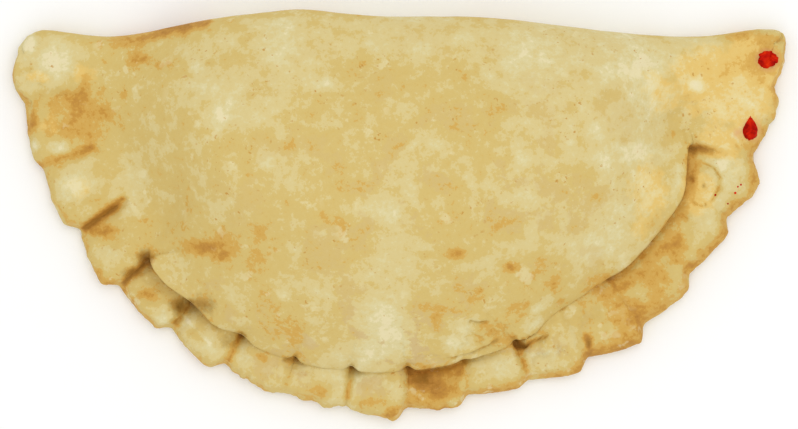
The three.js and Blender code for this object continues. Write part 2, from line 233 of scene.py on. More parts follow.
def nearestNotch(around):  # which one, and how far along the edge, below 0 on the lapped side
    k = min(range(pleatCount + 1), key=lambda i: abs(around - notches[i]))
    return k, math.radians(around - notches[k]) * crust["discRadius"]


def creaseDepth(around):
    return between(around, *crust["creaseAt"])


def creaseOpen(around):  # 1 where it is open, 0 where it is baked shut
    k, along = pleatAt(around)
    shut = (0, 0, 0)
    start, middle, stop = crust["creaseOpen"].get(k, shut)
    half, late = crust["openMiddle"], crust["openStop"]
    if along < half:
        return mix(start, middle, ease(along, 0, half))
    if along < late:
        return mix(middle, stop, ease(along, half, late))
    return mix(stop, crust["creaseOpen"].get(k + 1, shut)[0], ease(along, late, 1))


def fromCorners(around):  # 0 at the corners, 1 all along the pleats
    return between(around, crust["crimpStart"], *crust["fullBetween"], crust["crimpEnd"])


def rimWidth(around):
    radius = crust["creaseRadius"]
    fromPeak = math.radians(around - crust["creasePeak"])
    radius += crust["creaseShift"] * math.cos(crust["creaseWave"] * fromPeak)
    radius -= crust["creaseTuck"] * ease(around, *crust["creaseTuckAt"])
    for name in ("leftWider", "rightWider"):
        radius -= crust[name] * between(around, *crust[name + "At"])
    width = crust["discRadius"] + edgeReach(around) - radius
    return width * mix(crust["tabTaper"], 1, fromCorners(around))


def lipInset(around):  # from the edge in to where the body begins
    depth = creaseDepth(around)
    runOut = crust["lipRunOut"] * (1 - depth) * fromCorners(around)
    return rimWidth(around) - crust["lipOverhang"] * depth + runOut


def lipRadius(around):
    return crust["discRadius"] + edgeReach(around) - lipInset(around)


def onCrimp(around):
    return min(max(around, crust["crimpStart"]), crust["crimpEnd"])


evenedRadii = [  # for each half degree round the disc
    sum(lipRadius(onCrimp(half / 2 + off)) for off in crust["evenOver"]) / len(crust["evenOver"])
    for half in range(362)
]


def insideLip(around, radius):  # how far inside the body's lip
    fromLip = lipRadius(around) - radius
    half = int(2 * around)
    evened = mix(evenedRadii[half], evenedRadii[half + 1], 2 * around - half) - radius
    return mix(evened, fromLip, math.exp(-max(fromLip, 0.0) / crust["lipTurns"]))


def dimpleAt(around):  # how far the lip is pressed in above the notches
    hollow = 0.0
    for k, notch in enumerate(notches):
        off = math.radians(around - notch) * crust["discRadius"]
        width = crust["dimpleWidth"].get(k, crust["grooveWidth"])
        hollow += crust["lipHollow"][k] * swell(off, width)
    return crust["dimpleDepth"] * hollow * creaseDepth(around)


def foldFullness(x):
    return between(x, *crust["foldBulgeAt"])


def foldLine(x):
    at, rise, width = crust["foldHump"]
    flare = crust["foldFlare"] * ease(abs(x), *crust["foldFlareFrom"])
    bulge = crust["foldBulge"] * foldFullness(x)
    return crust["discCentre"].y + crust["foldDip"] + bulge + rise * swell(x - at, width) + flare


cornerPoints = [Vector((x, foldLine(x))) for x in crust["foldEnds"]]


# A column is one line from the crown over the edge to the middle of the underside
def crimpColumn(around):
    inward = Vector((math.cos(math.radians(around)), math.sin(math.radians(around))))
    edge = crust["discCentre"] - inward * (crust["discRadius"] + edgeReach(around))
    return {"edge": edge, "inward": inward, "around": around, "fold": 0.0}


def foldColumn(x):
    around = crust["crimpStart"] if x < 0 else crust["crimpEnd"]
    return {"edge": Vector((x, foldLine(x))), "inward": Vector((0, -1)), "around": around, "fold": 1.0}


def cornerColumns(first, last):
    handle = crust["cornerHandle"][0 if first["edge"].x < 0 else 1]
    across = last["edge"] - first["edge"]
    ways = [Vector((column["inward"].y, -column["inward"].x)) for column in (first, last)]
    leave = first["edge"] + ways[0] * abs(across.dot(ways[0])) * handle
    arrive = last["edge"] - ways[1] * abs(across.dot(ways[1])) * handle
    made = []
    for i in range(crust["cornerColumns"]):
        share = (i + 1) / (crust["cornerColumns"] + 1)
        back = 1 - share
        edge = first["edge"] * back ** 3 + leave * 3 * back ** 2 * share
        made.append({
            "edge": edge + arrive * 3 * back * share ** 2 + last["edge"] * share ** 3,
            "inward": first["inward"].lerp(last["inward"], share).normalized(),
            "around": last["around"] if first["fold"] else first["around"],
            "fold": mix(first["fold"], last["fold"], share),
        })
    return made


def crimpSide(around):  # inset and height from the body's lip down to the foot
    k, along = pleatAt(around)
    near, off = nearestNotch(around)
    depth = creaseDepth(around)
    opened = creaseOpen(around)
    rim = rimWidth(around)
    dimple = dimpleAt(around)
    steps = crust["lapStep"]
    tucked = steps[k] * (1 - ease(along, 0, crust["lapRun"])) if k >= 0 else 0.0
    if k < pleatCount:
        dropped = crust["lapDrop"] * ease(along, crust["lapEnd"], 1)
        tucked += steps[k + 1] * (dropped - crust["lapSwell"] * ease(along, *crust["lapSwellAt"]))
    ridge = mix(crust["tabThickness"], crust["lappedHeight"], depth) - tucked
    lip = mix(crust["tabThickness"], mix(ridge + crust["shutLip"], crust["lipHeight"], opened), depth)
    sunken = crust["sunken"].get(k, 0.0) * math.sin(math.pi * along) ** 0.5
    hollow = clamp(max(sunken, crust["lipHollow"][near] * swell(off, crust["hollowWidth"])))
    valley = mix(ridge - crust["creaseStep"], crust["creaseValley"], hollow)
    valley = mix(mix(ridge, crust["tabThickness"], crust["plainDip"]), valley, depth)
    shut = mix(ridge, lip, crust["shutDip"])
    valley = mix(shut, valley, mix(1, max(opened, crust["hollowOpens"] * hollow), depth))
    inset = lipInset(around) + dimple
    bevel = mix(*crust["edgeRound"], ease(around, *crust["edgeRoundTurns"]))
    bevel *= 1 - ease(around, *crust["edgeRoundEnds"])
    bevel = min(max(bevel, crust["edgeRound"][0]), rim * crust["edgeRoundMost"])
    return [
        (inset, lip),
        (mix(rim + dimple, inset, 0.7), mix(valley, lip, 0.62)),
        (mix(rim + dimple, inset, 0.3), mix(valley, lip, 0.25)),
        (rim * 0.96 + dimple, valley),
        (rim * 0.86, mix(valley, ridge, 0.6 - 0.4 * sunken)),
        (rim * 0.68, mix(valley, ridge, 0.92 - 0.55 * sunken)),
        (rim * 0.45, mix(valley, ridge, 1 - 0.3 * sunken)),
        (rim * 0.22, ridge * 0.94),
        (bevel * 0.5, ridge * 0.72),
        (0.0, ridge * 0.42),
        (crust["edgeRound"][0] * 0.6, crust["rimLift"]),
        (crust["footInset"], 0.0),
    ]


def foldSide(x, count):
    middle = mix(crust["tabThickness"] / 2, crust["foldMidHeight"], foldFullness(x))
    turns = [math.pi / 2 * i / (count - 1) for i in range(count)]
    return [(crust["foldFoot"] * middle * (1 - math.cos(t)), middle * (1 - math.sin(t))) for t in turns]


def throughPoints(points, steps):  # a smooth line through the points
    line = []
    for i, count in enumerate(steps):
        a, b, c, d = (points[min(max(j, 0), len(points) - 1)] for j in (i - 1, i, i + 1, i + 2))
        for step in range(count):
            t = step / count
            line.append(0.5 * (2 * b + (c - a) * t + (2 * a - 5 * b + 4 * c - d) * t * t
                               + (3 * b - a - 3 * c + d) * t * t * t))
    line.append(points[-1])
    return line


def layColumn(column):  # works out what all points of the column share
    around, fold = column["around"], column["fold"]
    crimp = crimpSide(around)
    bend = foldSide(column["edge"].x, len(crimp))
    stations = [Vector(a).lerp(Vector(b), fold) for a, b in zip(crimp, bend)]
    nearest = min(station.x for station in stations)
    for station in stations:
        station.x -= nearest
    column["side"] = throughPoints(stations, crust["sideSteps"])
    column["pleat"] = pleatAt(around)[0]
    column["dimple"] = dimpleAt(around) * (1 - fold)
    column["near"], column["notch"] = nearestNotch(around)
    column["step"] = crust["lapStep"][column["near"]] / max(crust["lapStep"]) * (1 - fold)
    column["depth"] = creaseDepth(around) * (1 - fold)
    column["opened"] = creaseOpen(around)
    column["softLip"] = column["edge"] + column["inward"] * (stations[0].x - column["dimple"])


def allColumns():
    tab, pleat = crust["tabColumns"], crust["pleatColumns"]
    angles = [mix(crust["crimpStart"], notches[0], i / tab) for i in range(tab)]
    for k in range(pleatCount):
        for i in range(pleat):
            share = i / pleat
            share -= 0.5 * math.sin(math.tau * share) / math.tau  # closer together beside the notches
            angles.append(mix(notches[k], notches[k + 1], share))
    angles += [mix(notches[-1], crust["crimpEnd"], i / tab) for i in range(tab + 1)]
    crimp = [crimpColumn(around) for around in angles]
    ends, steps = crust["foldEnds"], crust["foldColumns"]
    fold = [foldColumn(mix(ends[1], ends[0], i / steps)) for i in range(steps + 1)]
    made = crimp + cornerColumns(crimp[-1], fold[0]) + fold + cornerColumns(fold[-1], crimp[0])
    for column in made:
        layColumn(column)
    return made


columns = allColumns()


def grooveAt(plan, column):  # narrow on the lapped side of a notch, wider on the tucked side
    radius = (plan - crust["discCentre"]).length
    fade = ease(radius, crust["grooveInner"], crust["creaseRadius"])
    wide, narrow = crust["grooveSides"]
    width = crust["grooveWidth"] * (wide if column["notch"] > 0 else mix(wide, narrow, column["step"]))
    return crust["grooveDepth"] * fade * swell(column["notch"], width) * column["step"] ** 0.6


def pokeAt(plan):
    spread = [(plan - Vector(dab["at"])).length for dab in dabs.values()]
    return crust["pokeDepth"] * swell(min(spread), crust["pokeRadius"])


def fillAt(plan):  # how full the body is: 0 along its edge, 1 at the top
    arm = plan - crust["discCentre"]
    around = onCrimp(math.degrees(math.atan2(-arm.y, -arm.x)))
    inside = insideLip(around, arm.length)
    front = between(around, *crust["steepBetween"])
    rounded = quarterRound(inside, crust["riseFromLip"])
    sloped = math.sin(math.pi / 2 * clamp(inside / crust["riseFromLip"]))
    plump = mix(sloped, rounded, crust["steepFoot"])
    fromLip = mix(rounded * ease(inside, 0, crust["gentleFoot"]), plump, front)
    fromFold = quarterRound(foldLine(plan.x) - plan.y, crust["riseFromFold"])
    corner = min((plan - point).length for point in cornerPoints)
    return fromLip * fromFold * ease(corner, *crust["flatCorner"])


def lumpAt(plan):
    total = 0.0
    for i, way in enumerate(crust["lumpWays"]):
        travel = plan.x * math.cos(way) + plan.y * math.sin(way)
        total += math.sin(math.tau * travel / crust["lumpLength"] + 2 * i)
    return crust["lumpHeight"] * total / len(crust["lumpWays"])


def domePoint(column, out):
    plan = crust["crown"].lerp(column["softLip"], out)
    lipHeight = column["side"][0].y
    fromLip = (plan - column["softLip"]).dot(column["inward"])
    rounded = quarterRound(fromLip, crust["tabThickness"] / 2)
    edgeTop = mix(lipHeight, max(lipHeight, crust["tabThickness"]), rounded)
    base = mix(crust["lipHeight"], edgeTop, ease(out ** 3, 0, 1))
    height = mix(base, crust["bodyHeight"] + lumpAt(plan), fillAt(plan)) - pokeAt(plan)
    plan += column["inward"] * column["dimple"] * (1 - ease(height - lipHeight, 0, crust["dimpleRise"]))
    return Vector((plan.x, plan.y, height))


# Stations down the side: 0 is the body's lip, 3 the crease, 5 the crest, 9 the edge and 11 the foot
stationAt = [i + step / count for i, count in enumerate(crust["sideSteps"]) for step in range(count)]
stationAt.append(len(crust["sideSteps"]))
edgeStation = 9


def sidePoint(column, i):
    inset, height = column["side"][i]
    plan = column["edge"] + column["inward"] * inset
    hollow = (grooveAt(plan, column) + pokeAt(plan)) * max(0.0, 1 - stationAt[i] / edgeStation)
    return Vector((plan.x, plan.y, height - hollow))


# Folds and tears in the dough: each stands up on the left of its path and is pressed in on the right
usualLap = {"width": 0.8, "slope": 0.4, "brown": 0.0, "start": (0, 0.12), "fade": (0.82, 1)}
laps = {
    "leftTab": {
        "path": ((-74, 22.6), (-68, 23.8), (-60, 25.2)),
        "rise": 0.3, "reach": 5, "depth": 0.5, "width": 2.4, "slope": 1.1, "shade": 0.25,
    },
    "rightTab": {
        "path": ((55.6, 13.2), (58, 13.9), (62.6, 12.8), (66.6, 11.3)), "fade": (0.35, 1),
        "rise": 0.8, "reach": 4, "depth": 1.2, "width": 1.9, "slope": 0.6, "shade": 0.62, "brown": 0.9,
    },
    "thinLip": {
        "path": ((31.4, -25.7), (30.6, -26.9), (28.2, -27.5), (25.3, -27.1)),
        "rise": 0.9, "reach": 1.4, "depth": 0.4, "shade": 0.2,
    },
    "tear": {
        "path": ((22.2, -24.3), (23.8, -25.3), (25.3, -24.5), (27.3, -23.8), (29.4, -22.8)),
        "rise": 0.4, "reach": 2, "depth": 1.1, "shade": 0.7, "brown": 0.6,
    },
    "flakeTop": {
        "path": ((8.6, -27.6), (13.6, -26.9), (16.6, -25.6), (18.6, -23.9)),
        "rise": 0.5, "reach": 1.8, "depth": 0.4, "width": 1, "slope": 0.35, "shade": 0.45,
    },
    "nick": {
        "path": ((13.2, -20.3), (15.2, -20.8), (17.4, -20.5)),
        "rise": 0.25, "reach": 1.5, "depth": 0.9, "shade": 0.5,
    },
    "flakeEdge": {
        "path": ((20.3, -21.3), (17.5, -21.8), (14.8, -22.3)),
        "rise": 0.45, "reach": 2, "depth": 0.2, "shade": 0.1,
    },
    "crack": {
        "path": ((53.4, 0.2), (55, -0.1), (56.8, -0.7)),
        "rise": 0.15, "reach": 1, "depth": 0.4, "width": 0.5, "shade": 0.4, "brown": 0.8,
    },
    "whorl": {
        "path": ((56.5, 3.9), (57.5, 2.4), (59, 2), (60.4, 2.9), (61.6, 4.9), (62.1, 7), (61.2, 8.8),
                 (59, 9.8), (56.6, 9.8)),
        "rise": 0.4, "reach": 1.2, "depth": 0.4, "width": 0.6, "slope": 0.5, "shade": 0.5, "brown": 0.9,
    },
}
laps = {name: {**usualLap, **lap} for name, lap in laps.items()}


def lapAt(lap, plan):  # the height it adds, and how much it lies in the fold
    path = lap["path"]
    nearest, side, share = 1e9, 1.0, 0.0
    for i, (a, b) in enumerate(zip(path, path[1:])):
        run = Vector(b) - Vector(a)
        off = plan - Vector(a)
        t = clamp(off.dot(run) / run.length_squared)
        distance = (off - run * t).length
        if distance < nearest:
            nearest = distance
            side = run.x * off.y - run.y * off.x
            share = (i + t) / (len(path) - 1)
    fade = between(share, *lap["start"], *lap["fade"])
    off = nearest if side > 0 else -nearest
    stands = ease(off, -lap["slope"], lap["slope"]) * math.exp(-max(0.0, off) / lap["reach"])
    pressed = (1 - ease(off, -lap["slope"], lap["slope"])) * swell(min(0.0, off), lap["width"])
    return (lap["rise"] * stands - lap["depth"] * pressed) * fade, pressed * fade


relief = {
    "lumps": ((0.075, 0.35), (0.16, 0.22), (0.42, 0.08)),  # how close together, and how high
    "rimLumps": ((0.3, 0.35), (0.75, 0.2), (1.7, 0.08)),
    "rimFrom": 3.0,  # how far outside the crease they are full
    # flaky dough: x, y, half width, half length
    "flakes": ((16, -24, 8, 4.5), (27, -24.5, 8, 4), (4, -27, 5, 2.5), (37, -19, 5, 3)),
    "flakeClose": (0.16, 0.3),
    "flakeLevels": 2.2,
    "flakeStep": 0.35,
    "flakeShade": 0.25,
    # pressed spots: x, y, depth, radius
    "dimples": ((23.7, -25.2, 0.6, 0.7), (59.2, 5.7, 0.7, 0.6), (56.6, 7.0, 0.6, 0.8)),
    "dimpleShade": 0.6,
}


def within(spot, plan):  # 1 in the middle of an oval spot, 0 outside it
    dx = (plan.x - spot[0]) / spot[2]
    dy = (plan.y - spot[1]) / spot[3]
    away = dx * dx + dy * dy
    return math.exp(-away) if away < 6 else 0.0


def reliefAt(plan):  # the height it adds, the shadow and the browning
    spot = Vector((plan.x, plan.y, 0.0))
    height = sum(rise * noise.noise(spot * close + Vector((7, 3, 5))) for close, rise in relief["lumps"])
    rimStart = crust["creaseRadius"]
    rim = ease((plan - crust["discCentre"]).length, rimStart, rimStart + relief["rimFrom"])
    height += rim * sum(rise * noise.noise(spot * close) for close, rise in relief["rimLumps"])
    shadow, browned = 0.0, 0.0
    flaky = max(within(zone, plan) for zone in relief["flakes"])
    if flaky > 0.02:
        closeX, closeY = relief["flakeClose"]
        level = noise.fractal(Vector((closeX * plan.x, closeY * plan.y, 2.0)), 0.9, 2.2, 3)
        level *= relief["flakeLevels"]
        terrace = math.floor(level) + ease(level % 1, 0.7, 1)
        height += relief["flakeStep"] * terrace * flaky
        shadow = relief["flakeShade"] * flaky * between(level % 1, 0.35, 0.7, 0.75, 0.95)
    for x, y, depth, radius in relief["dimples"]:
        sunk = swell((plan - Vector((x, y))).length, radius)
        height -= depth * sunk
        shadow = max(shadow, relief["dimpleShade"] * sunk)
    for lap in laps.values():
        xs, ys = zip(*lap["path"])
        far = 3 * max(lap["reach"], lap["width"])
        if not (min(xs) - far < plan.x < max(xs) + far and min(ys) - far < plan.y < max(ys) + far):
            continue
        added, pressed = lapAt(lap, plan)
        height += added
        shadow = max(shadow, pressed * lap["shade"])
        browned = max(browned, pressed * lap["brown"])
    return height, shadow, browned


# Where the crust browned, stayed pale, turned golden or is stained, where painted shade lies in its
# creases and hollows, and where it has a duller tone that is partly painted shade:
# x, y, half width, half length, strength
bake = {
    "brown": (
        # the third spot, round the corner dab, is partly browning, partly painted shade in its poke
        (-62.3, 19.8, 5.4, 5.6, 0.78), (-71.8, 18, 1.5, 4.6, 0.6), (71.7, 30.3, 3.9, 3.5, 0.85),
        (-53.6, 34.1, 4.9, 1.9, 0.95), (-43.8, 36.4, 7.4, 2, 1), (-50.6, 30.6, 3.5, 1.9, 0.5),
        (-38, -6.4, 3.9, 1.6, 0.7), (-34.1, -7.8, 2.7, 1.6, 0.5), (-53.6, 23.4, 1, 1.4, 0.5),
        (10.7, -7.2, 3.1, 1.8, 0.8), (21, -9.9, 1.9, 1.6, 0.7), (6.8, -33.9, 5.6, 3, 1),
        (43.8, -18.1, 5.8, 3.9, 0.8), (49.7, -13.6, 3.5, 5.8, 0.8), (53.8, -4.9, 2.7, 5.1, 0.7),
        (49.7, -25.3, 2.7, 1.6, 0.8), (69.2, 7.4, 1.7, 3.2, 1), (65.5, 2.5, 2.4, 1.7, 0.85),
        (62.3, -5.2, 1.6, 2.3, 0.5), (57.1, 9.8, 1.9, 4.9, 0.6), (-14.8, -33.9, 3.6, 1.9, 0.75),
        (-6, -36.6, 4, 1.5, 0.75), (-1.9, -38.4, 1.9, 1.6, 0.8), (67.2, 35.1, 3.9, 1.4, 0.6),
        (71.5, 34.2, 4.4, 1.9, 0.65), (33.1, -20.8, 2.3, 1.6, 0.5), (8, 20.5, 20, 10, 0.16),
        (-57.4, -2.8, 3.6, 2.1, 0.62), (-50.6, -1.2, 2.6, 0.9, 0.5), (-58.6, -10.9, 1.2, 2.2, 0.7),
        (-48.6, -15.6, 3, 3.4, 0.85), (-39.2, -22.8, 3, 2.4, 0.5), (19.5, -5, 12, 12, 0.18),
        # the last spot, over the crown, is painted shade that darkens the top, where the light falls most
        (-29, -8, 12, 9, 0.15), (-2, 3, 28, 16, 0.2),
    ),
    "pale": (
        (-67.2, 30.6, 5.5, 4.3, 0.9), (-72.1, 33.1, 1.9, 2.3, 1), (-66.2, 13.6, 1.9, 1, 0.6),
        (-63.3, 4.9, 4.3, 3.5, 0.7), (-57.5, -7.8, 3.1, 2.7, 0.5), (-38.6, 28.3, 1.6, 1.4, 0.7),
        (-35, 18, 3.2, 3.2, 0.6), (-1.9, -22.4, 6.6, 5, 0.6), (-17.5, -24.3, 1.6, 1.2, 0.7),
        (46.8, 11.7, 9.7, 3, 0.65), (38, -6.8, 5.8, 3.4, 0.6), (-6.8, 1, 5.1, 2.3, 0.5),
        (57.9, 25.1, 1.8, 1.4, 0.8), (61.9, 10.3, 3.5, 1.6, 0.7), (11.7, -21.4, 3.5, 1.9, 0.5),
        (39, -18.5, 2.3, 1.9, 0.6), (-5, 33, 30, 4.5, 0.35), (36, 30, 16, 6, 0.4),
        (52, 6, 5, 9, 0.3), (-29, 21, 11, 11, 0.25), (45, 9, 12, 15, 0.3),
        (-43.3, 0.5, 3, 6, 0.4), (-50.3, 22.2, 5, 4, 0.35), (-42.9, 18.7, 2.5, 3.5, 0.4),
        (-65.8, 12.8, 2, 0.9, 0.7), (-71.4, 13.6, 0.9, 1.8, 0.8), (-4.5, 25.7, 4.2, 4.2, 0.42),
        (10.9, 19.3, 5, 4.4, 0.45), (-15, -4.2, 4.8, 3.6, 0.38), (-24, 30, 3.5, 2, 0.4),
        (-14.6, 25.6, 2.5, 1.5, 0.4), (-25.8, 11.2, 2.2, 2.6, 0.6), (-1.9, 0, 2.4, 2.2, 0.5),
        (11, -24.4, 4.2, 2, 0.45),
    ),
    "gold": (
        (63.5, 26, 13, 9, 0.9), (50.6, 24.4, 8.8, 8.8, 0.5), (-71.1, 26.7, 3.9, 1.6, 0.6),
        (-60, 27, 4, 3, 0.6), (-67.5, 18, 2, 5, 0.6), (62, 14, 8, 6, 0.6),
        (58.4, 3.9, 3.9, 5.8, 0.8), (49, 6, 6, 9, 0.5), (46.8, -2.9, 5.8, 5.8, 0.4),
        (-69.2, 17.5, 2.3, 2.7, 0.5), (-63, 6, 4.2, 3.2, 0.6),
    ),
    # painted shade in the hollows and beside the notches of the crease
    "crease": (
        (-49.7, -8, 2.2, 1.8, 0.7), (-52.3, -11.2, 2.4, 1.6, 0.6), (-38.4, -17.6, 3.4, 2.2, 0.72),
        (-43.3, -17.6, 1.8, 2.2, 0.85), (-33.6, -24.5, 1.9, 1.7, 0.6), (-21.8, -28.2, 1.5, 0.8, 0.55),
        (4.8, -32.2, 4.4, 1.7, 0.42), (12.6, -29, 1.8, 0.9, 0.5), (36.8, -25, 0.8, 1.8, 0.55),
    ),
    "stain": ((66, 16, 1.3, 1.5, 0.75),),
    # a duller tone in patches, partly painted shade, strongest towards the front
    "dullAndShade": ((0, -26, 36, 12, 1), (-40, -20, 10, 10, 0.8), (10, 0, 40, 26, 0.5)),
}

# The same along lines: from x, y, to x, y, half width, strength
streaks = {
    "brown": (
        (-70.6, 9.6, -60.2, 13.2, 1.2, 0.8), (57.4, 10, 57.2, 5, 1.3, 0.6),
        (57.2, 5, 55.6, 0.8, 1.3, 0.6), (55.6, 0.8, 51.9, -5.9, 1.5, 0.65),
        (51.9, -5.9, 46.6, -11.9, 2, 0.75), (46.6, -11.9, 41.5, -15.5, 1.6, 0.6),
        (-29.5, -26.4, -26.2, -28, 0.9, 0.7), (-61.7, -2.6, -54.2, 3, 0.9, 0.9),
        (-53.9, 33.7, -47.7, 35, 1.3, 0.85), (-47.7, 35, -37.6, 37.2, 1.4, 0.9),
        (38.5, -14.3, 41.9, -18.5, 0.8, 0.6), (36.2, -23.6, 37.4, -27, 1, 0.7),
        (-68.6, 5.2, -64.6, -2, 0.9, 0.6),
    ),
    # pale lines: painted highlights on raised lips and flakes, and painted light along the right crease
    # where the body's edge lies in shade
    "pale": (
        (54.4, 10, 53, 2.6, 1.3, 0.5), (53, 2.6, 48.6, -4.6, 1.3, 0.5),
        (48.6, -4.6, 42.6, -10.2, 1.2, 0.45), (-42.6, -19.4, -37, -25, 0.5, 0.7),
        (25.5, -27.2, 31, -26.6, 0.5, 0.9), (64.8, 15.6, 66.2, 13.8, 0.5, 0.6),
        (23.4, -27.9, 25, -26.2, 0.5, 0.7), (26.3, -18.1, 28.8, -16.2, 0.9, 0.6),
        (24.9, -22.2, 27, -20.4, 0.8, 0.5),
    ),
    # painted shade along a fold in the flaky dough
    "crease": ((12.6, -27.5, 16.2, -26, 0.6, 0.4), (16.2, -26, 18.8, -24.2, 0.7, 0.5)),
}


def streakAt(streak, plan):
    x1, y1, x2, y2, width, strength = streak
    start, run = Vector((x1, y1)), Vector((x2 - x1, y2 - y1))
    share = clamp((plan - start).dot(run) / run.length_squared)
    return strength * swell((plan - start - run * share).length, width)


# The same down the side of the rim
rimBake = {
    # station and half width
    "creaseLine": (2.7, 0.5),
    "innerLine": (4.4, 1.7),
    "crestLine": (5.0, 2.0),
    "edgeLine": (8.4, 1.5),
    # from station to station
    "rimEnds": (7, 9),
    "tuckStarts": (1.5, 3),
    "brownBetween": (2, 3.5, 6.5, 8.5),
    # strengths, by pleat, on the left and on the right, or for each notch
    "innerBrown": {2: 0.2, 3: 0.3, 8: 0.85, 10: 0.2, 11: 0.3, 12: 0.5, 13: 0.35},
    "usualInner": 0.1,
    "edgeBrown": (0.4, 0.6),
    "crestPaleAndLit": (0.28, 0.4),  # floury tops of the pleats, with painted light on them against the crease's shade
    "rightFrom": (80, 125),
    "notchBrown": (0, 0.5, 0.7, 0.7, 0.8, 0.8, 0.4, 0.9, 0.3, 0.5, 0.8, 0.1, 0.6, 0.3, 0.3, 0, 0),
    # strengths of the painted shade: in the crease between notches, on the tucked side of a notch, in the
    # dents
    "creaseShadeBetween": 0.5,
    "tuckShade": 0.6,
    "dentShade": 0.8,
    # half widths at a notch
    "notchCreaseShade": 1.5,
    "creaseShadeWider": 0.9,
    "tuckWidth": (0.9, 0.45),
    "brownWidth": 1.1,
    "dentWidth": 1.6,
}


def atLine(name, station):
    middle, width = rimBake[name]
    return swell(station - middle, width)


def rimMarks(column, station):  # how much painted shade, browning and paleness it gets there; the paleness of the crests is partly painted light
    notch, depth, crimped = column["notch"], column["depth"], 1 - column["fold"]
    onRim = 1 - ease(station, *rimBake["rimEnds"])
    atNotch = swell(notch, rimBake["notchCreaseShade"]) * column["step"] ** 0.5 * onRim
    middle, width = rimBake["creaseLine"]
    crease = depth * mix(rimBake["creaseShadeBetween"] * column["opened"], 1, atNotch)
    crease *= swell(station - middle, mix(width, rimBake["creaseShadeWider"], atNotch))
    tucked = swell(notch, rimBake["tuckWidth"][0 if notch > 0 else 1])
    tucked *= ease(station, *rimBake["tuckStarts"]) * onRim
    crease = max(crease, rimBake["tuckShade"] * tucked * column["step"])
    toRight = ease(column["around"], *rimBake["rightFrom"])
    inner = rimBake["innerBrown"].get(column["pleat"], rimBake["usualInner"])
    inner = inner * atLine("innerLine", station) * depth
    edge = mix(*rimBake["edgeBrown"], toRight) * atLine("edgeLine", station) * crimped
    groove = swell(notch, rimBake["brownWidth"]) * between(station, *rimBake["brownBetween"])
    brown = max(inner, edge, rimBake["notchBrown"][column["near"]] * crimped * groove)
    pale = mix(*rimBake["crestPaleAndLit"], toRight) * atLine("crestLine", station) * depth
    return crease, brown, pale


def paintedDentShade(column, out):  # painted shade where the crease runs a little way up the body above a notch
    dented = clamp(column["dimple"] / crust["dimpleDepth"])
    dented *= swell(column["notch"], rimBake["dentWidth"])
    return rimBake["dentShade"] * dented * ease(out, 0.95, 1)


def ringGeometry(made, kind):
    return [item for item in made if isinstance(item, kind)]


def growRing(bm, edges):
    made = bmesh.ops.extrude_edge_only(bm, edges=edges)["geom"]
    fresh = set(ringGeometry(made, bmesh.types.BMVert))
    return fresh, [e for e in ringGeometry(made, bmesh.types.BMEdge) if set(e.verts) <= fresh]


